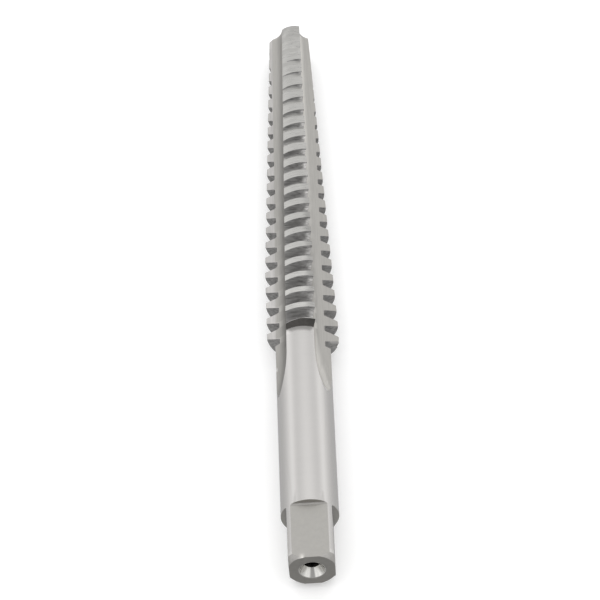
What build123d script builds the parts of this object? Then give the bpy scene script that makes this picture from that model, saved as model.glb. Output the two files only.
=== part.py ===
"""A straight-fluted hand tap for a 10 x 3 mm right-hand trapezoidal thread.

The tap lies along Y with its drive square at -Y and its point at +Y. It rests on two of
its three lands, with the third land on top, so the plane Z = 0 is what it lies on.
Lengths along the tool are measured from the square end of the tool. Angles round the
tool are measured from the middle of the top land towards +X.
"""

from math import asin, atan2, ceil, cos, degrees, radians, sin, tan
import os

from build123d import *

# Lengths along the tool, from the square end
overall_length = 104.4
square_length = 8.8
shoulder_position = 39.6
full_thread_end = 49.5

# Shank, drive square and centre holes
shank_diameter = 8.0
square_across_flats = 6.2
square_corner_radius = 0.3
end_chamfer = 0.7
centre_mouth_diameter = 3.6
centre_pilot_diameter = 1.8
centre_pilot_depth = 3.4
point_centre_mouth_diameter = 1.9
point_centre_pilot_diameter = 0.9
point_centre_pilot_depth = 1.9
centre_cone_angle = 60.0

# Trapezoidal thread
crest_diameter = 10.5
thread_pitch = 3.0
thread_depth = 1.95
crest_width = 0.96
flank_angle = 15.0
first_groove_position = 41.1
thread_start_position = 38.6
shoulder_slope_length = 0.44

# Tapered lead at the point. It is relieved behind the cutting edges: on each land it is a
# cone whose axis stands off the tool axis, towards the cutting edge.
lead_point_diameter = 6.34
lead_relief_offset = 0.55
point_chamfer = 0.5

# Flutes
flute_count = 3
cutting_corner_angle = 23.7
cutting_face_lean = 15.5
heel_offset = 2.2
flute_floor_radius = 2.3
flute_rise_angle = 0.9
flute_straight_end = 36.2
cutter_radius = 19.0
run_out_angle = 60.0

# How far the cuts reach past what they cut
cutter_clearance = 2.0
land_cut_angle = 110.0

shank_radius = shank_diameter / 2
crest_radius = crest_diameter / 2
root_radius = crest_radius - thread_depth
lead_point_radius = lead_point_diameter / 2
land_spacing = 360 / flute_count
heel_angle = degrees(asin(heel_offset / crest_radius))
resting_angle = land_spacing / 2 - max(heel_angle, cutting_corner_angle)
axis_height = crest_radius * cos(radians(resting_angle))
square_end = -overall_length / 2
tool_axis = Axis((0, square_end, axis_height), (0, 1, 0))


def along(position):
    """Y of a place on the tool, from its distance to the square end."""
    return square_end + position


def polar(radius, angle):
    """X and Z from the tool axis of a point at this angle from the top land."""
    return radius * sin(radians(angle)), radius * cos(radians(angle))


# Plane through the tool axis: local x runs along the tool, local y is the radius
axial_plane = Plane(origin=(0, square_end, axis_height), x_dir=(0, 1, 0), z_dir=(1, 0, 0))

# Flute section: a flat cutting face and a flat heel wall that meet in a round floor.
# The heel wall is parallel to the middle plane of the land that it belongs to.
face_x, face_z = polar(1, cutting_face_lean)
heel_x, heel_z = polar(1, land_spacing)
heel_normal_x, heel_normal_z = polar(1, land_spacing - 90)
cutting_corner_x, cutting_corner_z = polar(crest_radius, cutting_corner_angle)
corner_distance = cutting_corner_x * heel_normal_x + cutting_corner_z * heel_normal_z
face_closing = face_x * heel_normal_x + face_z * heel_normal_z
face_length = (corner_distance - heel_offset) / face_closing
flute_corner_x = cutting_corner_x - face_length * face_x
flute_corner_z = cutting_corner_z - face_length * face_z
retract_x, retract_z = polar(1, land_spacing / 2)
flute_reach = crest_radius + cutter_clearance


# One flute cutter: a straight run to beyond the point and the curved run-out that a
# disc-shaped cutter leaves in the shank. The straight run rises slowly towards the shank,
# along its cutting face.
with BuildPart() as flute_cutter:
    rise_slope = tan(radians(flute_rise_angle))
    rise = (shoulder_position - flute_straight_end) * rise_slope
    corner = (flute_corner_x + rise * face_x, flute_corner_z + rise * face_z)
    face_end = (corner[0] + flute_reach * face_x, corner[1] + flute_reach * face_z)
    heel_end = (corner[0] + flute_reach * heel_x, corner[1] + flute_reach * heel_z)
    outer = (corner[0] + flute_reach * (face_x + heel_x), corner[1] + flute_reach * (face_z + heel_z))
    section_plane = Plane(
        origin=(0, along(flute_straight_end), axis_height),
        x_dir=(1, 0, 0),
        z_dir=(rise_slope * face_x, -1, rise_slope * face_z),
    )
    with BuildSketch(section_plane) as flute_section:
        with BuildLine():
            Polyline(corner, face_end, outer, heel_end, close=True)
        make_face()
        fillet(flute_section.vertices().sort_by_distance(corner)[0], radius=flute_floor_radius)
    straight_run = overall_length + cutter_clearance - flute_straight_end
    extrude(flute_section.sketch, amount=-straight_run)
    cutter_centre_x = corner[0] + (flute_floor_radius + cutter_radius) * retract_x
    cutter_centre_z = corner[1] + (flute_floor_radius + cutter_radius) * retract_z
    cutter_centre = section_plane.from_local_coords((cutter_centre_x, cutter_centre_z, 0))
    axis_point = section_plane.from_local_coords((cutter_centre_x - retract_z, cutter_centre_z + retract_x, 0))
    cutter_axis = Axis(cutter_centre, axis_point - cutter_centre)
    revolve(flute_section.sketch, axis=cutter_axis, revolution_arc=run_out_angle)

# What the relieved lead takes off one land: the outside of a cone that is chamfered at the
# point, turned about its own axis. Each such cut reaches halfway into the flutes beside it.
with BuildPart() as lead_cutter:
    first_x, first_z = polar(1, -land_cut_angle / 2)
    lead_origin = (lead_relief_offset, square_end, axis_height)
    lead_slope = (crest_radius - lead_point_radius) / (overall_length - full_thread_end)
    lead_start = full_thread_end - lead_relief_offset / lead_slope
    with BuildSketch(Plane(origin=lead_origin, x_dir=(0, 1, 0), z_dir=(first_z, 0, -first_x))):
        with BuildLine():
            Polyline(
                (lead_start, crest_radius + lead_relief_offset),
                (overall_length - point_chamfer, lead_point_radius + lead_slope * point_chamfer),
                (overall_length, lead_point_radius - point_chamfer),
                (overall_length + cutter_clearance, lead_point_radius - point_chamfer),
                (overall_length + cutter_clearance, flute_reach),
                (lead_start, flute_reach),
                close=True,
            )
        make_face()
    revolve(axis=Axis(lead_origin, (0, 1, 0)), revolution_arc=land_cut_angle)

# The helical groove between the teeth, as far as it crosses the top land
with BuildPart() as groove_arc:
    groove_overlap = 0.6
    root_width = thread_pitch - crest_width - 2 * thread_depth * tan(radians(flank_angle))
    mouth_width = root_width + 2 * (thread_depth + groove_overlap) * tan(radians(flank_angle))
    arc_length = thread_pitch * land_cut_angle / 360
    arc_centre = (0, along(first_groove_position - arc_length / 2), axis_height)
    with BuildLine() as groove_path:
        Helix(
            pitch=thread_pitch,
            height=arc_length,
            radius=root_radius,
            center=arc_centre,
            direction=(0, 1, 0),
        )
    arc_start = groove_path.line @ 0
    start_radial = (arc_start - Vector(*arc_centre)).normalized()
    start_normal = start_radial.cross(Vector(0, 1, 0))
    with BuildSketch(Plane(origin=arc_start, x_dir=start_radial, z_dir=start_normal)):
        with BuildLine():
            Polyline(
                (0, -root_width / 2),
                (thread_depth + groove_overlap, -mouth_width / 2),
                (thread_depth + groove_overlap, mouth_width / 2),
                (0, root_width / 2),
                close=True,
            )
        make_face()
    sweep(path=groove_path.line, is_frenet=True)

# All grooves. The first begins in a flute, just behind the shoulder, and grazes the shank.
with BuildPart() as thread_grooves:
    start_angle = degrees(atan2(start_radial.X, start_radial.Z))
    for land in range(flute_count):
        lead_in = thread_pitch * land / flute_count
        first_turn = ceil((thread_start_position - first_groove_position - lead_in) / thread_pitch)
        last_turn = ceil((overall_length - first_groove_position - lead_in) / thread_pitch)
        land_arc = groove_arc.part.rotate(tool_axis, land * land_spacing - land_cut_angle / 2 - start_angle)
        for turn in range(first_turn, last_turn + 1):
            add(land_arc.moved(Location((0, lead_in + turn * thread_pitch, 0))))

with BuildPart() as thread_tap:
    # Turned blank: chamfered shank, shoulder and threaded length
    with BuildSketch(axial_plane):
        with BuildLine():
            Polyline(
                (0, 0),
                (0, shank_radius - end_chamfer),
                (end_chamfer, shank_radius),
                (shoulder_position, shank_radius),
                (shoulder_position + shoulder_slope_length, crest_radius),
                (overall_length, crest_radius),
                (overall_length, 0),
                close=True,
            )
        make_face()
    revolve(axis=tool_axis)

    # Flutes, then the lead and the thread on the lands between them
    for land in range(flute_count):
        add(flute_cutter.part.rotate(tool_axis, land * land_spacing), mode=Mode.SUBTRACT)
    for land in range(flute_count):
        add(lead_cutter.part.rotate(tool_axis, land * land_spacing), mode=Mode.SUBTRACT)
    add(thread_grooves.part, mode=Mode.SUBTRACT)

    # Drive square: four flats that end in a shoulder with a small corner radius
    flat_height = square_across_flats / 2
    flat_depth = shank_radius - flat_height + cutter_clearance
    with BuildSketch(axial_plane) as flat_profile:
        with Locations((square_length / 2 - cutter_clearance / 2, flat_height + flat_depth / 2)):
            Rectangle(square_length + cutter_clearance, flat_depth)
        inner_corner = flat_profile.vertices().sort_by_distance((square_length, flat_height))[0]
        fillet(inner_corner, radius=square_corner_radius)
    flat_cut = extrude(amount=shank_radius + cutter_clearance, both=True, mode=Mode.PRIVATE)
    for quarter in range(4):
        add(flat_cut.rotate(tool_axis, quarter * 90), mode=Mode.SUBTRACT)

    # Centre holes in both ends
    cone_slope = tan(radians(centre_cone_angle / 2))
    square_cone_depth = (centre_mouth_diameter - centre_pilot_diameter) / 2 / cone_slope
    point_cone_depth = (point_centre_mouth_diameter - point_centre_pilot_diameter) / 2 / cone_slope
    with BuildSketch(axial_plane):
        with BuildLine():
            Polyline(
                (0, 0),
                (0, centre_mouth_diameter / 2),
                (square_cone_depth, centre_pilot_diameter / 2),
                (centre_pilot_depth, centre_pilot_diameter / 2),
                (centre_pilot_depth, 0),
                close=True,
            )
        make_face()
        with BuildLine():
            Polyline(
                (overall_length, 0),
                (overall_length, point_centre_mouth_diameter / 2),
                (overall_length - point_cone_depth, point_centre_pilot_diameter / 2),
                (overall_length - point_centre_pilot_depth, point_centre_pilot_diameter / 2),
                (overall_length - point_centre_pilot_depth, 0),
                close=True,
            )
        make_face()
    revolve(axis=tool_axis, mode=Mode.SUBTRACT)

# The relief moves the lowest corner a little, so the finished tap is set down on Z = 0
lowest_corner = thread_tap.part.bounding_box().min.Z
thread_tap.part = thread_tap.part.moved(Location((0, 0, -lowest_corner)))
thread_tap.part.label = "thread_tap"

os.makedirs("parts", exist_ok=True)
export_step(thread_tap.part, "parts/thread_tap.step")
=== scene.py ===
"""A straight-fluted thread tap of bright high-speed steel, lying on a pale studio floor.

The whole tap is one closed surface, worked out as arrays on a grid of two parameters: rows
run along the tool and follow the thread, columns run round it and follow the edges of the
lands and flutes. Lengths inside the shape functions are in millimetres, measured along the
tool from its square end, and angles are in degrees from the middle of the top land towards
+X. The mesh itself is in metres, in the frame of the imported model.
"""

import bpy
import numpy as np
from mathutils import Matrix, Vector


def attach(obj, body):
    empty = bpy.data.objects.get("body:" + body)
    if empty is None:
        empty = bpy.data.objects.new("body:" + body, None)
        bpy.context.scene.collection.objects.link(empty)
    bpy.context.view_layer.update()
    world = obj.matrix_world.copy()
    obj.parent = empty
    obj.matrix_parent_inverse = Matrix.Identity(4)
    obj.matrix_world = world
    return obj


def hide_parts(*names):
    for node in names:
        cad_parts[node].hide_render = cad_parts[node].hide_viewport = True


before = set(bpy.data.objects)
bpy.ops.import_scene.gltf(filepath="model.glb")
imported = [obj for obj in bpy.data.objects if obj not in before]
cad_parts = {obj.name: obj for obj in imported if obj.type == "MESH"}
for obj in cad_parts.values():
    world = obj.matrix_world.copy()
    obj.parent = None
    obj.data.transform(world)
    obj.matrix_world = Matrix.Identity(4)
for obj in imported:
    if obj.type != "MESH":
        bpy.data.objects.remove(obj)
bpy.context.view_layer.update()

MM = 0.001

# Camera, fitted to the tap in the photograph: its place in millimetres, the directions of the
# picture's right and down sides and of the view, and the focal length in picture pixels
PICTURE_SIZE = 600
FOCAL_LENGTH_PX = 2398.6
CAMERA_PLACE = (8.634, -235.883, 270.03)
CAMERA_RIGHT = (0.99774, -0.03075, -0.05981)
CAMERA_DOWN = (-0.06247, -0.7533, -0.65471)
CAMERA_FORWARD = (-0.02493, 0.65696, -0.75351)

# Whole tool: its length, the height of its axis over the floor, and places along it
LENGTH = 104.4
AXIS_HEIGHT = 4.276
SQUARE_END = 8.8
SHOULDER = 39.6
FULL_THREAD_END = 49.5

# Shank, slope of its shoulder, and drive square
SHANK_R = 4.0
SLOPE_LENGTH = 0.44
FLAT_H = 3.1
FLAT_FILLET = 0.3
END_CHAMFER = 0.7

# Nick in the top edge of the square's end
NICK_ANGLE, NICK_SPREAD = -21.0, 4.0
NICK_LENGTH, NICK_DEPTH = 0.75, 0.16

# Centre holes of 60 degrees in the square and in the point. The square's cone is painted dark, as shade,
# from the share DARK_FOOT of its depth on.
CONE_SLOPE = np.tan(np.radians(30))
MOUTH_R, PILOT_R, PILOT_DEPTH = 1.8, 0.9, 3.4
DARK_FOOT = 0.78
POINT_MOUTH_R, POINT_PILOT_R, POINT_PILOT_DEPTH = 0.95, 0.45, 1.9

# How far rows stand from the edges of the ends and their holes, which breaks those edges
RIM_BREAK = 0.03
MOUTH_BREAK = 0.04
HOLE_BREAK = 0.02

# Trapezoidal thread, with a small round where the flanks meet the root. Near the point its
# grooves fade out between two places.
CREST_R = 5.25
PITCH = 3.0
THREAD_DEPTH = 1.95
ROOT_R = CREST_R - THREAD_DEPTH
FLANK_ANGLE = 15
FLANK_TAN = np.tan(np.radians(FLANK_ANGLE))
CREST_WIDTH = 0.96
ROOT_HALF = (PITCH - CREST_WIDTH) / 2 - THREAD_DEPTH * FLANK_TAN
ROOT_ROUND = 0.13
ROOT_TANGENT = ROOT_ROUND * np.tan(np.radians(90 - FLANK_ANGLE) / 2)
ROOT_BEND = ROOT_ROUND * np.sin(np.radians(90 - FLANK_ANGLE))
FIRST_GROOVE = 41.1
GROOVE_FADE, GROOVE_END = 95.5, 102.0

# Relieved lead, and how far its tip may stand over the plain cone of the point's chamfer
POINT_R = 3.17
LEAD_SLOPE = (CREST_R - POINT_R) / (LENGTH - FULL_THREAD_END)
LEAD_OFFSET = 0.55
POINT_CHAMFER = 0.5
TIP_OVER_CHAMFER = 0.2

# What is ground off the top land's heel at the point: depth, length, the angle on the land
# where it begins and the angle over which it would reach its whole depth
NOSE_RELIEF, NOSE_LENGTH = 0.7, 3.0
NOSE_ANGLE, NOSE_SPAN = 5, 40

# Lands and flutes. Each flute rises by RISE towards the shank and, past STRAIGHT_END, runs
# out in it along the arc of a disc-shaped cutter, which is followed for RUN_OUT_REACH.
LANDS = 3
LAND_STEP = 360 / LANDS
CUT_ANGLE = 23.7
FACE_LEAN = 15.5
HEEL_OFFSET = 2.2
FLOOR_R = 2.3
RISE = np.tan(np.radians(0.9))
STRAIGHT_END = 36.2
CUTTER_R = 19.0
RUN_OUT_REACH = 7.8

# Half the width of the narrow bevels that break sharp edges, and how far along the tool
# those at the crests reach down the flanks
EDGE = 0.035
BEVEL_DROP = 0.9 * EDGE * FLANK_TAN

# Pitches of thread, counted from the top land's first groove. The second land has one more
# groove before it, which grazes the end of the shank.
PITCHES = np.arange(-1, 21)

# Rows of one pitch: how many, between which of them the faces lie on the root, where those
# on a flank stand along it, and how far those in the round at its foot stand off its middle
PITCH_ROWS = 18
ROOT_FACES = (6, 12)
FLANK_SHARES = (0.33, 0.66)
ROUND_STEP = 0.02

# Rows along the flutes' run-out, which start at RUN_OUT_START, along the thread and from
# the thread to the point
RUN_OUT_START = 26.0
RUN_OUT_ROWS = 46
THREAD_ROWS = PITCH_ROWS * PITCHES.size
NOSE_ROWS = 18

# Rows of the square's end: its face and hole, by shares of the face's width and of the
# cone's depth, and the number of rows of faces in the pilot, on the cone and on the chamfer
FACE_SHARES = (0.35, 0.7)
CONE_SHARES = (0.33, 0.66, DARK_FOOT)
PILOT_FACES, CONE_FACES = 4, 4
CHAMFER_FACES = 8

# Rows along the square's chamfer and flats, round the fillets that end these, by the angle
# turned, and along the shank, by shares of its length
CHAMFER_START = 0.1
FLAT_PLACES = (1.4, 2.8, 4.2, 5.6, 7.0, 8.0)
FILLET_TURNS = np.linspace(0, 88, 7)
SHANK_SHARES = np.linspace(0, 1, 10)[1:-1]

# Rows of the point, by shares of its chamfer, its face and its cone
TIP_CHAMFER_SHARES = (0.3, 0.65, 0.95)
TIP_FACE_SHARES = (0.4, 0.75)
TIP_CONE_SHARES = (0.5, 1.0)

# How far each land's thread is shifted so that the rows close round the tool
LAND_SHIFT = (0.0, 1.0, -1.0)

# Columns of one land, as shares of its half width, and of one flute's face, floor and wall
LAND_COLS = np.concatenate([[-1.0], np.linspace(-0.97, 0.97, 16), [1.0]])
FACE_STEPS = np.array([0.0, 0.02, 0.2, 0.4, 0.6, 0.8])
FLOOR_STEPS = np.linspace(0, 1, 13)
WALL_STEPS = np.array([0.14, 0.32, 0.5, 0.68, 0.84, 0.985, 1.0])
ON_LAND, IN_FLUTE, ON_FACE = range(3)

# Where a column lies across the tool: 0 at a land's heel edge, 1 at its cutting edge, then
# over the cutting face to 1.3, over the flute's floor to 1.7 and up the heel wall to 2
ACROSS_LAND = (LAND_COLS + 1) / 2
ACROSS_FACE = 1 + 0.3 * FACE_STEPS[1:]
ACROSS_FLOOR = 1.3 + 0.4 * FLOOR_STEPS
ACROSS_WALL = 1.7 + 0.3 * WALL_STEPS[:-1]
ACROSS_FLUTE = np.concatenate([ACROSS_FACE, ACROSS_FLOOR, ACROSS_WALL])

# Repeated halving: how often, and the section lengths between which a flute's edge lies
HALVINGS = 34
LEAST_WAY, MOST_WAY = 0.35, 9.0

# Repeating that makes a land's edges and its rows agree, from this half width in degrees on
ROUNDS = 6
HALF_WIDTH_GUESS = 24.0

# Finishes, in the order of the mesh's materials
SHANK, CREST, FLANK, FLUTE, CUT_FACE, FLAT, END_FACE = range(7)
HOLE, SHOULDER_SLOPE, ROOT, PILOT, CORNER, CHAMFER = range(7, 13)

# A face belongs to the shank down to SHANK_FACE, and to a flank if it rises by more than
# STEEP times its run. A row less than NEAR from an edge lies on it. Edges sharper than
# SHARP_ANGLE are not smoothed over.
SHANK_FACE = SHANK_R - 0.004
STEEP = 0.7
NEAR = 0.002
SHARP_ANGLE = 32

# Brightness of the flutes, and painted light in the flute in front of the top land, for its reflections:
# the share across the flute up to which that light is whole, then places along the tool with how much it
# adds and where across the flute it ends
FLUTE_LEVEL = 0.9
PAINTED_LIGHT_FROM = 1.5
FRONT_PAINTED_LIGHT = (
    (31.0, 0.65, 1.85),
    (34.5, 0.97, 1.72),
    (40.5, 0.8, 1.6),
    (50.0, 0.2, 1.62),
    (62.0, 0.56, 1.66),
    (79.0, 0.97, 1.66),
)

# Painted shade behind the top land, for the darker reflections in its flute: places along the tool with the
# brightness of the cutting face and how much painted shade the floor has, the stretches across it where
# that shade comes in and the wall is painted lighter again, and by how much
BACK_PAINTED_SHADE = (
    (34.0, 0.95, 0.35),
    (46.0, 1.2, 0.58),
    (58.0, 1.02, 0.4),
    (86.0, 1.0, 0.24),
    (97.0, 1.0, 0.14),
)
FLOOR_PAINTED_SHADE = (1.15, 1.54)
WALL_PAINTED_LIGHT, WALL_GAIN = (1.52, 1.7), 0.28

# Places along the tool with the brightness of the crests and of the grooves, and the depth
# below the crest over which the one goes over into the other
LAND_LEVELS = (
    (45.0, 1.0, 1.0),
    (57.0, 0.9, 1.0),
    (74.0, 0.88, 0.92),
    (95.0, 0.84, 0.84),
)
CREST_DROP = (0.02, 0.12)

# Places along the tool with how much the top land's flanks are brightened at the cutting edge, partly for
# burnish and partly as painted light where they come out of shade, the share of the land's width where that
# begins and is whole, and the depth below the crest and height over the root between which it lies. It
# differs from tooth to tooth.
BURNISH_AND_LIGHT = (
    (50.0, 0.8),
    (62.0, 1.2),
    (75.0, 1.7),
    (95.0, 0.8),
)
BURNISH_AND_LIGHT_ACROSS = (0.78, 0.93)
BURNISH_AND_LIGHT_BELOW_CREST = (0.05, 0.35)
BURNISH_AND_LIGHT_OVER_ROOT = (0.0, 0.3)
TOOTH_LEAST, TOOTH_MOST, TOOTH_DRAWS = 0.6, 1.0, 80
RAGGED = 0.02

# Darker ends of the top land's crests near the cutting edge: how much, where across the land, and between
# which places along the tool they fade out
CREST_DARKENING = 0.34
DARKER_ACROSS = (0.66, 0.9)
DARKER_ENDS = (58, 72)

# Facet ground on the top land's tip, and a glint on the shank where the heel edge meets it
TIP_FACET, TIP_FACET_ACROSS, TIP_DIMMING = (101.2, 101.5), (0.2, 0.3), 0.1
GLINT_PLACE, GLINT_LENGTH = 39.0, 0.3
GLINT_ACROSS, GLINT_WIDTH, GLINT_GAIN = 0.04, 0.1, 0.3

# Painted highlight where the nick's faces catch the light, and painted shade for a dent beside it on the
# end face, which the mesh does not model
NICK_HIGHLIGHT = 0.9
DENT_ANGLE, DENT_REACH, DENT_SHADE = 5, (2.4, 3.2), 0.5

# Painted reflections round the square's centre hole: brightness by the angle from straight below towards -X
CONE_REFLECTIONS = (
    (-180, 1.0),
    (-90, 1.3),
    (-55, 1.15),
    (-35, 1.3),
    (-15, 1.3),
    (-8, 0.45),
    (8, 0.45),
    (18, 1.2),
    (30, 1.35),
    (42, 0.95),
    (60, 1.0),
    (90, 1.15),
    (180, 1.0),
)


def direction(angle):
    """X and Z of the unit vector at this angle, in degrees, from the top towards +X."""
    t = np.radians(angle)
    return np.array([np.sin(t), np.cos(t)])


def smooth_step(value, low, high):
    """0 below low, 1 above high and 3x^2 - 2x^3 between."""
    x = np.clip((value - low) / (high - low), 0, 1)
    return x * x * (3 - 2 * x)


# Flute section, in the plane across the tool: the directions of cutting face and heel wall,
# the corner in which they would meet, and the round floor in it
FACE_DIR = direction(FACE_LEAN)
WALL_DIR = direction(LAND_STEP)
WALL_NORMAL = direction(LAND_STEP - 90)
CUT_CORNER = CREST_R * direction(CUT_ANGLE)
FACE_WIDTH = (CUT_CORNER @ WALL_NORMAL - HEEL_OFFSET) / (FACE_DIR @ WALL_NORMAL)
FLUTE_CORNER = CUT_CORNER - FACE_WIDTH * FACE_DIR
FLOOR_HALF = np.radians(180 - (LAND_STEP - FACE_LEAN)) / 2
FLOOR_TANGENT = FLOOR_R * np.tan(FLOOR_HALF)
FLOOR_CENTRE = FLOOR_R / np.cos(FLOOR_HALF)
FLOOR_ARC = FLOOR_R * FLOOR_HALF
BISECTOR = (FACE_LEAN + LAND_STEP) / 2

# The way in which the cutter leaves the flute, and the direction of its axis
RETRACT = direction(LAND_STEP / 2)
CUTTER_AXIS = np.array([RETRACT[1], -RETRACT[0]])


def flute_point(way, s):
    """Point of the first flute's section, at a signed distance along it from its middle.

    The section is a straight cutting face (way negative), a round floor and a straight
    heel wall (way positive). It moves out along the cutting face in proportion to the
    distance to the shoulder. Past the straight run, each point stands at the same distance
    from the cutter's axis as before, so its height above that axis is
    sqrt(distance^2 - run^2).
    """
    way, s = np.broadcast_arrays(way, s)
    rise = (SHOULDER - np.maximum(s, STRAIGHT_END)) * RISE
    corner = FLUTE_CORNER + rise[..., None] * FACE_DIR
    beyond = np.maximum(np.abs(way) - FLOOR_ARC, 0) + FLOOR_TANGENT
    side = np.where((way < 0)[..., None], FACE_DIR, WALL_DIR)
    straight = corner + beyond[..., None] * side
    turn = BISECTOR + 180 - np.degrees(np.clip(way, -FLOOR_ARC, FLOOR_ARC) / FLOOR_R)
    floor_centre = corner + FLOOR_CENTRE * direction(BISECTOR)
    round_floor = floor_centre + FLOOR_R * np.moveaxis(direction(turn), 0, -1)
    point = np.where((np.abs(way) > FLOOR_ARC)[..., None], straight, round_floor)
    axis = corner + (FLOOR_R + CUTTER_R) * RETRACT
    run = np.clip(STRAIGHT_END - s, 0, RUN_OUT_REACH)
    height = np.sqrt(((axis - point) @ RETRACT) ** 2 - run**2)
    return axis - height[..., None] * RETRACT + ((point - axis) @ CUTTER_AXIS)[..., None] * CUTTER_AXIS


def radius_of(point):
    """Distance of a section point from the tool's axis."""
    return np.hypot(point[..., 0], point[..., 1])


def angle_of(point):
    """Angle of a section point, in degrees from the top towards +X."""
    return np.degrees(np.arctan2(point[..., 0], point[..., 1]))


def flute_edge(radius, s, side):
    """Distance along the flute's section at which it reaches this radius, by halving.

    side is -1 for the cutting face and +1 for the heel wall.
    """
    low, high = np.zeros_like(radius), np.full_like(radius, MOST_WAY)
    for _ in range(HALVINGS):
        middle = (low + high) / 2
        inside = radius_of(flute_point(side * middle, s)) < radius
        low, high = np.where(inside, middle, low), np.where(inside, high, middle)
    return side * np.maximum(low, LEAST_WAY)


def envelope(s, off):
    """Radius of a land before its thread is cut, at an angle off from the land's middle.

    The smallest of the turned blank (shank, slope, crest) and the relieved lead. The lead
    is a cone whose axis stands LEAD_OFFSET towards the cutting edge:
    r = e sin(off) + sqrt(L^2 - (e cos(off))^2), with L falling evenly to the point.
    """
    blank = SHANK_R + (CREST_R - SHANK_R) * np.clip((s - SHOULDER) / SLOPE_LENGTH, 0, 1)
    cone = CREST_R + LEAD_SLOPE * (FULL_THREAD_END - s)
    chamfer = POINT_R - POINT_CHAMFER + (LENGTH - s) * (1 + LEAD_SLOPE)
    cone = np.minimum(cone, chamfer)
    t = np.radians(off)
    lead = LEAD_OFFSET * np.sin(t) + np.sqrt(np.maximum(cone**2 - (LEAD_OFFSET * np.cos(t)) ** 2, 1))
    return np.where(s < SHOULDER, SHANK_R, np.minimum(blank, lead))


def nose_relief(s, off):
    """What is ground off the top land's heel, with the square of the way into NOSE_LENGTH."""
    near_end = np.clip((s - LENGTH + NOSE_LENGTH) / NOSE_LENGTH, 0, 1)
    return NOSE_RELIEF * near_end**2 * np.clip((NOSE_ANGLE - off) / NOSE_SPAN, 0, 1)


def groove(u):
    """Radius of the thread groove at a distance u along the tool from its middle.

    Flat root, straight flanks that open by FLANK_ANGLE each, and a small round between them.
    """
    u = np.abs(u)
    start = ROOT_HALF - ROOT_TANGENT
    bend = np.clip(u - start, 0, ROOT_BEND)
    rounded = ROOT_R + ROOT_ROUND - np.sqrt(ROOT_ROUND**2 - bend**2)
    flank = ROOT_R + (u - ROOT_HALF) / FLANK_TAN
    return np.where(u - start > ROOT_BEND, flank, rounded)


def grooved_radius(s, off, cut):
    """Radius of a land with its groove, which fades out near the point."""
    whole = envelope(s, off)
    return whole - np.maximum(whole - cut, 0) * (1 - smooth_step(s, GROOVE_FADE, GROOVE_END))


def flank_meets(centre, off, side):
    """Distance from a groove's middle to where its flank meets the envelope, by halving."""
    low = np.full_like(centre, ROOT_HALF)
    high = np.full_like(centre, PITCH / 2)
    for _ in range(HALVINGS):
        middle = (low + high) / 2
        below = groove(middle) < envelope(centre + side * middle, off)
        low, high = np.where(below, middle, low), np.where(below, high, middle)
    return low


def groove_middle(land, off, number):
    """Place of the middle of a land's groove, counted as PITCHES are, at each angle off."""
    return FIRST_GROOVE + LAND_SHIFT[land] + PITCH * (off / 360 + number)


def pitch_rows(land, off):
    """Places along the tool of the thread's rows, for the angles off[pitch, row, column].

    The rows of a pitch run over half a crest, down a flank, across the root, up the other
    flank and over half a crest, with two rows at each crest edge that leave a narrow bevel
    between them. Each row depends on its own angles alone.
    """
    number = PITCHES[:, None, None]
    centre = groove_middle(land, off, number)
    first, last = centre - PITCH / 2, centre + PITCH / 2
    lower = centre - flank_meets(centre, off, -1)
    upper = centre + flank_meets(centre, off, 1)
    half = (first + lower) / 2
    if land == 0:
        first = np.where(number == 0, SHOULDER, first)
        last = np.where(number == -1, SHOULDER, last)
        slope_end = np.minimum(np.maximum(SHOULDER + SLOPE_LENGTH, first), lower - EDGE)
        half = np.where(number == 0, slope_end, half)
    foot = centre - ROOT_HALF + ROOT_TANGENT - ROOT_BEND
    root = centre - ROOT_HALF + ROOT_TANGENT
    rows = [first, half, np.maximum(lower - EDGE, half), lower + BEVEL_DROP]
    rows += [lower + BEVEL_DROP + share * (foot - lower - BEVEL_DROP) for share in FLANK_SHARES]
    rows += [foot, (foot + root) / 2 + ROUND_STEP, root, centre]
    foot, root = 2 * centre - foot, 2 * centre - root
    rows += [root, (foot + root) / 2 - ROUND_STEP, foot]
    rows += [foot + share * (upper - BEVEL_DROP - foot) for share in FLANK_SHARES]
    rows += [upper - BEVEL_DROP, upper + EDGE, (upper + EDGE + last) / 2]
    return np.stack([row[:, i] for i, row in enumerate(rows)], axis=1)


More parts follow.
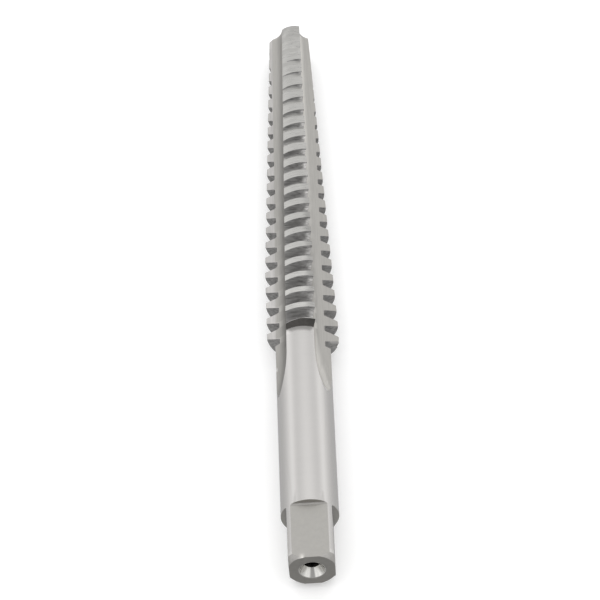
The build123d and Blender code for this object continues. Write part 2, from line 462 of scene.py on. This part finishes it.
def land_grid(land):
    """Place, radius and angle of one land's rows and columns, with the flute edges.

    Each row's angles run from the heel wall to the cutting face at that row's own radius,
    and its place follows the thread at those angles, so both are found by repeating.
    """
    cols = LAND_COLS.size
    off = np.tile(LAND_COLS * HALF_WIDTH_GUESS, (RUN_OUT_ROWS + THREAD_ROWS + NOSE_ROWS, 1))
    for _ in range(ROUNDS):
        thread_off = off[RUN_OUT_ROWS : RUN_OUT_ROWS + THREAD_ROWS].reshape(PITCHES.size, PITCH_ROWS, cols)
        thread_s = pitch_rows(land, thread_off)
        from_middle = thread_s - groove_middle(land, thread_off, PITCHES[:, None, None])
        has_groove = (PITCHES >= 0)[:, None, None] | (land == 1)
        cut = np.where(has_groove, groove(from_middle), CREST_R)
        thread_r = grooved_radius(thread_s, thread_off, cut)

        nose_off = off[-NOSE_ROWS:]
        start = groove_middle(land, nose_off, PITCHES[-1] + 0.5)
        nose_s = start + np.linspace(0, 1, NOSE_ROWS)[:, None] * (LENGTH - POINT_CHAMFER - start)
        from_first = nose_s - groove_middle(land, nose_off, 0)
        from_middle = (from_first + PITCH / 2) % PITCH - PITCH / 2
        nose_r = grooved_radius(nose_s, nose_off, groove(from_middle))
        if land == 0:
            nose_r = nose_r - nose_relief(nose_s, nose_off)

        share = np.arange(RUN_OUT_ROWS)[:, None] / RUN_OUT_ROWS
        run_out_s = RUN_OUT_START + share * (thread_s[0, 0] - RUN_OUT_START)
        s = np.concatenate([run_out_s, thread_s.reshape(-1, cols), nose_s])
        r = np.concatenate([np.full_like(run_out_s, SHANK_R), thread_r.reshape(-1, cols), nose_r])
        face_way = flute_edge(r[:, -1], s[:, -1], -1)
        wall_way = flute_edge(r[:, 0], s[:, 0], 1)
        cut_edge = angle_of(flute_point(face_way, s[:, -1]))
        heel_edge = angle_of(flute_point(wall_way, s[:, 0])) - LAND_STEP
        off = heel_edge[:, None] + (cut_edge - heel_edge)[:, None] * ACROSS_LAND
    return s, r, off, face_way, wall_way


def flute_grid(before, after):
    """Place, radius and angle of one flute's rows and columns, between two lands.

    The places blend from those of the cutting edge to those of the next land's heel.
    """
    face_s, face_way = before[0][:, -1], before[3]
    wall_s, wall_way = after[0][:, 0], after[4]
    face_foot = np.maximum(face_way, -FLOOR_ARC)
    wall_foot = np.minimum(wall_way, FLOOR_ARC)
    face = face_way[:, None] + (face_foot - face_way)[:, None] * FACE_STEPS
    floor = face_foot[:, None] + (wall_foot - face_foot)[:, None] * FLOOR_STEPS
    wall = wall_foot[:, None] + (wall_way - wall_foot)[:, None] * WALL_STEPS
    way = np.concatenate([face[:, 1:], floor, wall[:, :-1]], axis=1)
    share = smooth_step(np.linspace(0, 1, way.shape[1] + 2)[1:-1], 0, 1)
    s = face_s[:, None] + (wall_s - face_s)[:, None] * share
    point = flute_point(way, s)
    limit = np.where(s < SHOULDER, SHANK_R, CREST_R)
    return s, np.minimum(radius_of(point), limit), angle_of(point)


def body_grid():
    """Place, radius and angle of all lands and flutes side by side, and each column's kind."""
    lands = [land_grid(land) for land in range(LANDS)]
    grids, kinds = [], []
    for land in range(LANDS):
        s, r, off = lands[land][:3]
        grids.append((s, r, off + land * LAND_STEP))
        kinds += [ON_LAND] * (LAND_COLS.size - 1) + [ON_FACE]
        s, r, angle = flute_grid(lands[land], lands[(land + 1) % LANDS])
        grids.append((s, r, angle + land * LAND_STEP))
        kinds += [ON_FACE] * ACROSS_FACE.size + [IN_FLUTE] * (s.shape[1] - ACROSS_FACE.size)
    s, r, theta = (np.concatenate(values, axis=1) for values in zip(*grids))
    return s, r, np.degrees(np.unwrap(np.radians(theta), axis=1)), np.array(kinds)


def flat_height(s):
    """Height of the square's flats over the axis, which a small round ends at SQUARE_END."""
    rise = np.clip(s - (SQUARE_END - FLAT_FILLET), 0, FLAT_FILLET)
    return FLAT_H + FLAT_FILLET - np.sqrt(np.maximum(FLAT_FILLET**2 - rise**2, 0))


def chamfered_radius(s):
    """Radius of the shank with the chamfer at the square's end."""
    return np.minimum(SHANK_R, SHANK_R - END_CHAMFER + s)


def square_radius(s, theta):
    """Radius of the drive end: the chamfered shank cut by four flats."""
    from_flat = (theta + 45) % 90 - 45
    return np.minimum(chamfered_radius(s), flat_height(s) / np.cos(np.radians(from_flat)))


def corner_angle(s):
    """Half the angle that one flat spans, where it meets the shank or its chamfer."""
    return np.degrees(np.arccos(flat_height(s) / chamfered_radius(s)))


def nick(s, theta):
    """Share of the nick in the end's top edge at each place, 1 at its middle."""
    aside = (theta - NICK_ANGLE + 180) % 360 - 180
    return np.exp(-((aside / NICK_SPREAD) ** 2)) * np.clip(1 - s / NICK_LENGTH, 0, 1)


def full_rows(rows, cols):
    """Place, radius and angle grids from rows in which each may be a single number."""
    return [np.array([np.broadcast_to(value, cols) for value in values]) for values in zip(*rows)]


def drive_end(first_s, base):
    """Rows of the drive square and of the plain shank, up to the body's first row.

    That row has the places first_s and the angles base. On the square the same columns
    gather so that one lies on each edge of the flats, and they spread out again evenly
    along the shank.
    """
    cols = base.size
    index = np.arange(cols)
    eighths = np.arange(8)
    order = np.interp(45 * eighths + 22.5, base, index)
    order = np.round(order.mean() + (eighths - 3.5) * cols / 8).astype(int)

    def gathered(half):
        """Column angles that put a column on each edge of the flats."""
        edges = np.concatenate([[90 * i + half, 90 * (i + 1) - half] for i in range(4)])
        columns = np.concatenate([[order[-1] - cols], order, [order[0] + cols]])
        return np.interp(index, columns, np.concatenate([[edges[-1] - 360], edges, [edges[0] + 360]]))

    chamfer = np.linspace(CHAMFER_START, END_CHAMFER - RIM_BREAK, CHAMFER_FACES - 1)
    flat = [END_CHAMFER + RIM_BREAK, *FLAT_PLACES]
    fillet = SQUARE_END - FLAT_FILLET + FLAT_FILLET * np.sin(np.radians(FILLET_TURNS))
    rows = []
    for place in np.concatenate([[0.0, RIM_BREAK], chamfer, flat, fillet]):
        angles = gathered(corner_angle(place))
        radius = square_radius(place, angles) - NICK_DEPTH * nick(place, angles)
        rows.append((place, radius, angles))
    _, radius, last = rows[-1]
    start = SQUARE_END + EDGE
    rows.append((SQUARE_END, np.maximum(radius, SHANK_R - EDGE), last))
    rows.append((start, SHANK_R, last))
    for share in SHANK_SHARES:
        angles = last + smooth_step(share, 0, 1) * (base - last)
        rows.append((start + share * (first_s - start), SHANK_R, angles))
    return full_rows(rows, cols)


def cone_row(mouth, pilot, share):
    """Depth and radius at a share of the way down a centre hole's cone."""
    return share * (mouth - pilot) / CONE_SLOPE, mouth - share * (mouth - pilot)


def face_and_hole(rim, rim_angle, shares, hole):
    """Rows in from an end's rim over its flat face and down its hole, by their depth.

    hole lists depths and radii from the mouth down. From the rim's angles to the mouth the
    columns go over to even steps.
    """
    even = np.linspace(0, 360, rim_angle.size, endpoint=False) + rim_angle[0]
    mouth = hole[0][1]
    rows = [(0.0, rim, rim_angle)]
    rows += [(0.0, rim + share * (mouth - rim), rim_angle + share * (even - rim_angle)) for share in shares]
    return rows + [(depth, radius, even) for depth, radius in hole]


def square_face(rim, rim_angle):
    """Rows from the foot of the square's centre hole up its cone and out to the rim."""
    cone_depth = (MOUTH_R - PILOT_R) / CONE_SLOPE
    hole = [
        (0.0, MOUTH_R + MOUTH_BREAK),
        (MOUTH_BREAK, MOUTH_R - MOUTH_BREAK),
        *[cone_row(MOUTH_R, PILOT_R, share) for share in CONE_SHARES],
        (cone_depth - HOLE_BREAK, PILOT_R + HOLE_BREAK),
        (cone_depth + RIM_BREAK, PILOT_R),
        (PILOT_DEPTH - HOLE_BREAK, PILOT_R),
        (PILOT_DEPTH, PILOT_R - HOLE_BREAK),
    ]
    return full_rows(face_and_hole(rim, rim_angle, FACE_SHARES, hole)[::-1], rim.size)


def point_face(last_r, last_angle, kinds):
    """Rows over the point's chamfer and end face and down its centre hole."""
    cols = last_r.size
    lands = np.repeat(np.arange(LANDS), cols // LANDS)
    on_land = (kinds == ON_LAND) | (np.roll(kinds, 1) == ON_LAND)
    off = (last_angle - lands * LAND_STEP + 180) % 360 - 180
    rows = []
    for share in TIP_CHAMFER_SHARES:
        place = LENGTH - POINT_CHAMFER * (1 - share)
        radius = np.where(on_land, np.minimum(envelope(place, off), last_r), last_r)
        limit = POINT_R - POINT_CHAMFER * share + TIP_OVER_CHAMFER
        rows.append((place, np.minimum(radius, limit), last_angle))
    rim = np.minimum(rows[-1][1], last_r) - HOLE_BREAK
    hole = [
        (0.0, POINT_MOUTH_R + HOLE_BREAK),
        (HOLE_BREAK, POINT_MOUTH_R - HOLE_BREAK),
        *[cone_row(POINT_MOUTH_R, POINT_PILOT_R, share) for share in TIP_CONE_SHARES],
        (POINT_PILOT_DEPTH - HOLE_BREAK, POINT_PILOT_R),
        (POINT_PILOT_DEPTH, POINT_PILOT_R - HOLE_BREAK),
    ]
    end = face_and_hole(rim, last_angle, TIP_FACE_SHARES, hole)
    rows += [(LENGTH - depth, radius, angle) for depth, radius, angle in end]
    return full_rows(rows, cols)


def tap_grid():
    """Place, radius and angle of all the tap's rows and columns, with each row's finish,
    each column's kind, and the numbers of the square's and the body's first rows.

    The finish is that of the faces for which face_finishes has no rule.
    """
    *body, kinds = body_grid()
    square = drive_end(body[0][0], body[2][0])
    face = square_face(square[1][0] - RIM_BREAK, square[2][0])
    point = point_face(body[1][-1], body[2][-1], kinds)
    s, r, theta = (np.concatenate(values) for values in zip(face, square, body, point))
    tip_rows, tip_face_rows = len(TIP_CHAMFER_SHARES), len(TIP_FACE_SHARES) + 1
    # The pilot and the foot of the square's cone take the nearly black finish, as painted shade
    finish = [PILOT] * PILOT_FACES + [HOLE] * CONE_FACES
    finish += [END_FACE] * (len(face[0]) - PILOT_FACES - CONE_FACES)
    finish += [SHANK] * (len(square[0]) + RUN_OUT_ROWS)
    finish += ([CREST] * 3 + [FLANK] * 12 + [CREST] * 3) * PITCHES.size
    finish += [CREST] * (NOSE_ROWS + tip_rows)
    finish += [END_FACE] * tip_face_rows + [HOLE] * (len(point[0]) - tip_rows - tip_face_rows)
    square_start = len(face[0])
    return s, r, theta, np.array(finish), kinds, square_start, square_start + len(square[0])


def face_finishes(s, r, theta, finish, kinds, square_start, body_start):
    """Number of each face's finish, from its row, its column and how steeply it rises."""
    part = np.broadcast_to(finish[:-1, None], (len(finish) - 1, kinds.size)).copy()
    row = np.arange(len(part))
    in_body = (row >= body_start) & (finish[:-1] != END_FACE) & (finish[:-1] != HOLE)
    on_shank = (s[:-1] < SHOULDER) & (r[:-1] > SHANK_FACE)
    part[in_body[:, None] & (kinds == IN_FLUTE) & ~on_shank] = FLUTE
    part[in_body[:, None] & (kinds == ON_FACE) & ~on_shank] = CUT_FACE

    # On the lands a steep face is a flank, and a level one is a crest or a root
    on_land = in_body[:, None] & (kinds == ON_LAND)
    rise, run = np.abs(np.diff(r, axis=0)), np.abs(np.diff(s, axis=0))
    steep = (rise + np.roll(rise, -1, axis=1)) > STEEP * (run + np.roll(run, -1, axis=1))
    thread_start = body_start + RUN_OUT_ROWS
    pitch_row = (row - thread_start) % PITCH_ROWS
    in_thread = (row >= thread_start) & (row < thread_start + THREAD_ROWS)
    on_root = in_thread & (pitch_row >= ROOT_FACES[0]) & (pitch_row < ROOT_FACES[1])
    part[on_land & ~steep] = CREST
    part[on_land & ~steep & on_root[:, None]] = ROOT
    part[on_land & steep & in_thread[:, None]] = FLANK
    part[on_land & on_shank & (r[1:] > SHANK_FACE)] = SHANK
    # The shoulder's slope takes a dark finish, as painted shade
    part[thread_start + PITCH_ROWS, : LAND_COLS.size - 1] = SHOULDER_SLOPE

    # On the square a face belongs to a flat if its middle lies between the flat's edges
    beside = np.concatenate([theta[:-1, 1:], theta[:-1, :1] + 360], axis=1)
    from_flat = np.abs(((theta[:-1] + beside) / 2 + 45) % 90 - 45)
    on_flat = (s[:-1] < SQUARE_END + NEAR) & (from_flat < corner_angle(np.clip(s[:-1], 0, SQUARE_END)))
    on_flat[:square_start] = False
    on_flat[body_start:] = False
    in_corner = (s[1:] > SQUARE_END - FLAT_FILLET + NEAR) & (s[:-1] < SQUARE_END - NEAR)
    part[on_flat] = FLAT
    part[on_flat & in_corner] = CORNER
    chamfer = slice(square_start, square_start + CHAMFER_FACES)
    part[chamfer][~on_flat[chamfer]] = CHAMFER
    return part


def along_tool(stops, place):
    """The columns of a table of stops, with even change between its places along the tool."""
    at, *columns = np.array(stops).T
    return [np.interp(place, at, column) for column in columns]


def flute_tone(land, place):
    """Brightness of a flute's rows and columns.

    The flute in front of the top land gets painted light, for its reflections, from its cutting face to
    the middle of its floor and less beyond, and the one behind it gets painted shade on its floor.
    """
    # Painted light in the flute in front of the top land, painted shade in the one behind it
    if land == 0:
        painted_light, end = along_tool(FRONT_PAINTED_LIGHT, place)
        return FLUTE_LEVEL + painted_light * (1 - smooth_step(ACROSS_FLUTE, PAINTED_LIGHT_FROM, end))
    if land == 1:
        return np.broadcast_to(FLUTE_LEVEL, place.shape)
    level, floor_shade = along_tool(BACK_PAINTED_SHADE, place)
    gain = WALL_GAIN * smooth_step(ACROSS_FLUTE, *WALL_PAINTED_LIGHT)
    return level - floor_shade * smooth_step(ACROSS_FLUTE, *FLOOR_PAINTED_SHADE) + gain


def land_tone(land, place, depth, height):
    """Brightness of a land's rows and columns, from the depth below its crest and the
    height over its root. The crests get darker towards the point. On the top land the
    flanks are brightened near the cutting edge, partly for burnish and partly as painted light where they
    come out of shade, and the crests are made darker there, tooth by tooth."""
    crest, cut = along_tool(LAND_LEVELS, place)
    cut_in = smooth_step(depth, *CREST_DROP)
    tone = crest + (cut - crest) * cut_in
    if land != 0:
        return np.where(place > SHOULDER, tone, 1)
    draw = np.random.default_rng(4)
    tooth = draw.uniform(TOOTH_LEAST, TOOTH_MOST, TOOTH_DRAWS)[(place / PITCH * 2).astype(int)]
    ragged = ACROSS_LAND + draw.normal(0, RAGGED, place.shape)
    # Flanks brightened at the top land's cutting edge: partly burnish, partly painted light where they come
    # out of shade
    (burnish_and_light,) = along_tool(BURNISH_AND_LIGHT, place)
    burnish_and_light = burnish_and_light * smooth_step(depth, *BURNISH_AND_LIGHT_BELOW_CREST) * smooth_step(height, *BURNISH_AND_LIGHT_OVER_ROOT)
    darkened = CREST_DARKENING * (1 - cut_in) * (1 - smooth_step(place, *DARKER_ENDS))
    burnish_and_light = burnish_and_light * smooth_step(ragged, *BURNISH_AND_LIGHT_ACROSS)
    darkened = darkened * smooth_step(ragged, *DARKER_ACROSS)
    on_facet = smooth_step(place, *TIP_FACET) * smooth_step(ACROSS_LAND, *TIP_FACET_ACROSS)
    tone = (tone + tooth * (burnish_and_light - darkened)) * (1 - TIP_DIMMING * on_facet)
    along = (place - GLINT_PLACE) / GLINT_LENGTH
    across = (ACROSS_LAND - GLINT_ACROSS) / GLINT_WIDTH
    return np.where(place > SHOULDER, tone, 1 + GLINT_GAIN * np.exp(-(along**2) - across**2))


def surface_tone(s, r, theta, square_start, body_start):
    """How bright the steel is at each vertex, against the plain colour of its finish. Much of it is painted
    light, shade and reflections.

    In the square's centre hole it swings round the cone as painted reflections.
    """
    tone = np.ones_like(s)
    rows = slice(body_start, body_start + RUN_OUT_ROWS + THREAD_ROWS + NOSE_ROWS)
    width = ACROSS_LAND.size + ACROSS_FLUTE.size
    for land in range(LANDS):
        on_land = slice(land * width, land * width + ACROSS_LAND.size)
        in_flute = slice(land * width + ACROSS_LAND.size, (land + 1) * width)
        place, radius = s[rows, in_flute], r[rows, in_flute]
        below_shank = (place > SHOULDER) | (radius < SHANK_FACE)
        tone[rows, in_flute] = np.where(below_shank, flute_tone(land, place), 1)
        place, radius = s[rows, on_land], r[rows, on_land]
        off = (theta[rows, on_land] - land * LAND_STEP + 180) % 360 - 180
        tone[rows, on_land] = land_tone(land, place, envelope(place, off) - radius, radius - ROOT_R)
    square, face = slice(square_start, body_start), slice(0, square_start)
    # Painted highlight in the nick in the square's top edge
    tone[square] += NICK_HIGHLIGHT * nick(s[square], theta[square])
    # Painted reflections round the square's centre hole, and painted shade for a dent beside the nick on
    # the end face
    hole_reflections = np.interp(theta[face] % 360 - 180, *zip(*CONE_REFLECTIONS))
    dent = nick(s[face], theta[face] + DENT_ANGLE) * smooth_step(r[face], *DENT_REACH)
    tone[face] = np.where(r[face] > MOUTH_R, 1 - DENT_SHADE * dent, hole_reflections)
    return tone


def build_tap(finishes):
    """The tap's mesh, closed round the tool and closed by a pole at the foot of each hole."""
    s, r, theta, finish, kinds, square_start, body_start = tap_grid()
    rows, cols = s.shape
    t = np.radians(theta)
    points = np.stack([r * np.sin(t), s - LENGTH / 2, AXIS_HEIGHT + r * np.cos(t)], axis=-1)
    poles = [[0, s[0, 0] - LENGTH / 2, AXIS_HEIGHT], [0, s[-1, 0] - LENGTH / 2, AXIS_HEIGHT]]
    points = np.concatenate([points.reshape(-1, 3), poles]) * MM
    first_pole, last_pole = rows * cols, rows * cols + 1

    column = np.arange(cols)
    beside = (column + 1) % cols
    row = np.arange(rows - 1)[:, None] * cols
    quads = np.stack([row + column, row + cols + column, row + cols + beside, row + beside], axis=-1)
    last_row = (rows - 1) * cols
    first_cap = np.stack([np.full(cols, first_pole), column, beside], axis=-1)
    last_cap = np.stack([np.full(cols, last_pole), last_row + beside, last_row + column], axis=-1)
    faces = quads.reshape(-1, 4).tolist() + first_cap.tolist() + last_cap.tolist()
    part = face_finishes(s, r, theta, finish, kinds, square_start, body_start)
    part = np.concatenate([part.reshape(-1), np.full(2 * cols, END_FACE)])
    tone = np.append(surface_tone(s, r, theta, square_start, body_start).reshape(-1), [1, 1])

    mesh = bpy.data.meshes.new("tap_surface")
    mesh.from_pydata(points.tolist(), [], faces)
    mesh.polygons.foreach_set("material_index", part.astype(np.int32))
    mesh.polygons.foreach_set("use_smooth", np.ones(len(faces), bool))
    mesh.attributes.new("tone", "FLOAT", "POINT").data.foreach_set("value", tone)
    mesh.update()
    for material in finishes:
        mesh.materials.append(material)
    mesh.set_sharp_from_angle(angle=np.radians(SHARP_ANGLE))
    tap = bpy.data.objects.new("tap", mesh)
    bpy.context.scene.collection.objects.link(tap)
    return tap


def hex_colour(code):
    """Linear RGBA of an sRGB hex colour."""
    srgb = np.array([int(code[i : i + 2], 16) for i in (1, 3, 5)]) / 255
    linear = np.where(srgb <= 0.04045, srgb / 12.92, ((srgb + 0.055) / 1.055) ** 2.4)
    return (*linear.tolist(), 1.0)


def add_node(tree, kind, links=None, **settings):
    """Adds a node. links gives its inputs by name or number, from a socket or as a value."""
    node = tree.nodes.new(kind)
    for name, value in settings.items():
        setattr(node, name, value)
    for name, value in (links or {}).items():
        if isinstance(value, bpy.types.NodeSocket):
            tree.links.new(value, node.inputs[name])
        else:
            node.inputs[name].default_value = value
    return node


# The streak noise lies mostly between these values, and its relief is this high in metres
NOISE_LOW, NOISE_HIGH = 0.3, 0.7
RELIEF = 0.02 * MM


def steel(name, colour, roughness, marks, variation=0.1, grain=0.05, bump=0.15):
    """A machined steel finish.

    marks is the size of its tool marks along X, Y and Z in millimetres. They vary its
    brightness by variation and its roughness by grain, and bump is how much relief they
    show. The tone from the mesh, which holds painted light, shade and reflections as well as burnish, makes
    it brighter or darker besides.
    """
    material = bpy.data.materials.new(name)
    material.use_nodes = True
    tree = material.node_tree
    shader = tree.nodes["Principled BSDF"]
    shader.inputs["Metallic"].default_value = 1.0
    place = add_node(tree, "ShaderNodeTexCoord").outputs["Object"]
    per_metre = [1 / (size * MM) for size in marks]
    mapped = add_node(tree, "ShaderNodeMapping", {"Vector": place, "Scale": per_metre}).outputs["Vector"]
    noise = {"Vector": mapped, "Scale": 1.0, "Detail": 3.0, "Roughness": 0.6}
    streaks = add_node(tree, "ShaderNodeTexNoise", noise).outputs["Fac"]
    gloss, light = (
        add_node(tree, "ShaderNodeMapRange", {
            "Value": streaks,
            "From Min": NOISE_LOW,
            "From Max": NOISE_HIGH,
            "To Min": middle - swing,
            "To Max": middle + swing,
        }).outputs["Result"]
        for middle, swing in ((roughness, grain), (1, variation))
    )
    tone = add_node(tree, "ShaderNodeAttribute", attribute_name="tone").outputs["Fac"]
    light = add_node(tree, "ShaderNodeMath", {0: light, 1: tone}, operation="MULTIPLY").outputs[0]
    shade = {0: hex_colour(colour)[:3], "Scale": light}
    tinted = add_node(tree, "ShaderNodeVectorMath", shade, operation="SCALE")
    relief = add_node(tree, "ShaderNodeBump", {"Height": streaks, "Strength": bump, "Distance": RELIEF})
    tree.links.new(tinted.outputs["Vector"], shader.inputs["Base Color"])
    tree.links.new(gloss, shader.inputs["Roughness"])
    tree.links.new(relief.outputs["Normal"], shader.inputs["Normal"])
    return material


def dull_along(material, start, end, extra):
    """Adds roughness to a material, growing from one place along the tool to another."""
    tree = material.node_tree
    socket = tree.nodes["Principled BSDF"].inputs["Roughness"]
    plain = socket.links[0].from_socket
    place = add_node(tree, "ShaderNodeTexCoord").outputs["Object"]
    along = add_node(tree, "ShaderNodeSeparateXYZ", {"Vector": place}).outputs["Y"]
    dull = add_node(tree, "ShaderNodeMapRange", {
        "Value": along,
        "From Min": (start - LENGTH / 2) * MM,
        "From Max": (end - LENGTH / 2) * MM,
        "To Min": 0.0,
        "To Max": extra,
    }).outputs["Result"]
    total = add_node(tree, "ShaderNodeMath", {0: plain, 1: dull}, operation="ADD").outputs[0]
    tree.links.new(total, socket)


# Real grinding and milling marks are 0.005 to 0.05 mm apart. They would be too fine to show
# in the render, so all tool marks here are drawn as coarse as they need to show.
FINISHES = [
    # Ground between centres: bright and even, with long soft reflections and fine rings
    steel("cylindrically ground high-speed steel shank", "#c2c0be", 0.18, (3.33, 0.111, 3.33),
          variation=0.02, grain=0.02, bump=0.05),
    # Ground off behind the cutting edges: bright satin bands with faint lines round the tool
    steel("relief ground high-speed steel crests", "#bdbcb9", 0.30, (1.43, 0.2, 1.43)),
    # Left by the thread grinding wheel: matt, streaky and darker, so that the teeth stand out
    steel("thread ground high-speed steel flanks", "#a2a1a0", 0.60, (2.0, 0.125, 0.333), variation=0.38),
    # Milled lengthwise: soft satin with long streaks that follow the tool
    steel("milled high-speed steel flutes", "#adaba7", 0.38, (0.167, 4.0, 0.167)),
    # Ground lengthwise after milling: a little brighter than the flute, with finer streaks
    steel("ground high-speed steel cutting faces", "#b7b5b3", 0.34, (0.4, 4.0, 0.4)),
    # Milled flats: an even, calm grey without clear lines
    steel("milled high-speed steel square", "#a5a39f", 0.36, (0.667, 0.667, 0.667), variation=0.04),
    # Turned and never ground, so duller than the flats above it, and painted darker as shade for the dark
    # ground that it faces
    steel("turned high-speed steel end face", "#95938f", 0.45, (0.4, 0.4, 0.4), variation=0.06),
    # Countersunk: a shiny cone; in the square's hole its light and dark patches are painted reflections,
    # from the tone
    steel("drilled high-speed steel centre holes", "#c0bfbc", 0.22, (0.4, 0.4, 0.4), variation=0.06),
    # Left rough, and painted dark as shade for the dark that the slope mirrors: a dark matt band between
    # the bright shank and the first tooth
    steel("rough turned high-speed steel shoulder in painted shade", "#5b5957", 0.6, (0.4, 0.4, 0.4), variation=0.15),
    # Bottom of the grooves: satin, and lighter than the flanks on either side
    steel("thread ground high-speed steel roots", "#b9b8b5", 0.40, (1.43, 0.2, 1.43)),
    # Deep and unlit: painted shade, a nearly black dot
    steel("deep drilled high-speed steel pilot holes", "#1c1b1a", 0.5, (0.4, 0.4, 0.4)),
    # The small round that ends each flat: a grey crescent of milled steel, painted darker as shade so that
    # its round shows no bright band
    steel("high-speed steel corners left by the cutter", "#9c9a97", 0.5, (0.4, 0.4, 0.4)),
    # Turned chamfer: a satin rim round the end, lighter than the end face
    steel("turned high-speed steel chamfer", "#a9a7a4", 0.38, (0.4, 0.4, 0.4)),
]
# The grinding wheel does not reach the shoulder, so the last stretch of shank is duller
dull_along(FINISHES[SHANK], SHOULDER - 0.9, SHOULDER - 0.1, 0.45)

tap = build_tap(FINISHES)
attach(tap, "root")
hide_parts("thread_tap")

# Camera: the photograph's own viewing angle
camera_data = bpy.data.cameras.new("camera")
camera_data.sensor_width = 36.0
camera_data.lens = FOCAL_LENGTH_PX / PICTURE_SIZE * camera_data.sensor_width
camera_data.clip_start, camera_data.clip_end = 0.02, 20.0
camera = bpy.data.objects.new("camera", camera_data)
bpy.context.scene.collection.objects.link(camera)
right, down, forward = Vector(CAMERA_RIGHT), Vector(CAMERA_DOWN), Vector(CAMERA_FORWARD)
turn = Matrix((right, -down, -forward)).transposed()
camera.matrix_world = Matrix.Translation(Vector(CAMERA_PLACE) * MM) @ turn.to_4x4()
bpy.context.scene.camera = camera

# Floor of white paper. It glows a little, which keeps it as pale as the photograph's ground,
# and the steel does not mirror it.
FLOOR_REACH = 1.5
FLOOR_GLOW = 0.1
corners = [(x * FLOOR_REACH, y * FLOOR_REACH, 0) for x, y in ((-1, -1), (1, -1), (1, 1), (-1, 1))]
floor_mesh = bpy.data.meshes.new("studio_floor")
floor_mesh.from_pydata(corners, [], [(0, 1, 2, 3)])
# Matt white paper: an even pale ground that shows only a soft shadow
paper = bpy.data.materials.new("matt white studio paper")
paper.use_nodes = True
paper_sockets = paper.node_tree.nodes["Principled BSDF"].inputs
paper_sockets["Base Color"].default_value = hex_colour("#fafafa")
paper_sockets["Roughness"].default_value = 0.9
paper_sockets["Emission Color"].default_value = hex_colour("#ffffff")
paper_sockets["Emission Strength"].default_value = FLOOR_GLOW
floor_mesh.materials.append(paper)
floor = bpy.data.objects.new("studio_floor", floor_mesh)
bpy.context.scene.collection.objects.link(floor)
floor.visible_glossy = False

# Soft studio light: a white dome, brightest in a ring a little above the horizon and again
# near the top, and dimmer below. Heights run from -1 straight below to 1 straight above,
# each with its light. The dome leans a little, so that its +X side counts as higher.
DOME_STRENGTH = 1.4
DOME_LEAN = 0.03
DOME_LIGHT = (
    (-1.0, 0.50),
    (-0.65, 0.62),
    (-0.48, 0.705),
    (-0.28, 0.765),
    (-0.10, 0.875),
    (0.06, 1.01),
    (0.21, 1.17),
    (0.36, 1.36),
    (0.48, 1.17),
    (0.62, 0.96),
    (0.74, 1.08),
    (0.80, 1.2),
    (0.87, 1.36),
    (1.0, 1.3),
)
world = bpy.data.worlds.new("studio")
world.use_nodes = True
dome = world.node_tree
heading = add_node(dome, "ShaderNodeTexCoord").outputs["Generated"]
axes = add_node(dome, "ShaderNodeSeparateXYZ", {"Vector": heading}).outputs
lean = {0: axes["X"], 1: DOME_LEAN, 2: axes["Z"]}
leaned = add_node(dome, "ShaderNodeMath", lean, operation="MULTIPLY_ADD").outputs[0]
share = add_node(dome, "ShaderNodeMapRange", {"Value": leaned, "From Min": -1.0, "From Max": 1.0})
falloff = add_node(dome, "ShaderNodeValToRGB", {"Fac": share.outputs["Result"]})
falloff.color_ramp.interpolation = "B_SPLINE"
stops = falloff.color_ramp.elements
for height, light in DOME_LIGHT:
    ends = {-1.0: stops[0], 1.0: stops[-1]}
    stop = ends[height] if height in ends else stops.new((height + 1) / 2)
    stop.color = (light / DOME_STRENGTH,) * 3 + (1.0,)
dome.links.new(falloff.outputs["Color"], dome.nodes["Background"].inputs["Color"])
dome.nodes["Background"].inputs["Strength"].default_value = DOME_STRENGTH
bpy.context.scene.world = world
bpy.context.scene.view_settings.view_transform = "Standard"
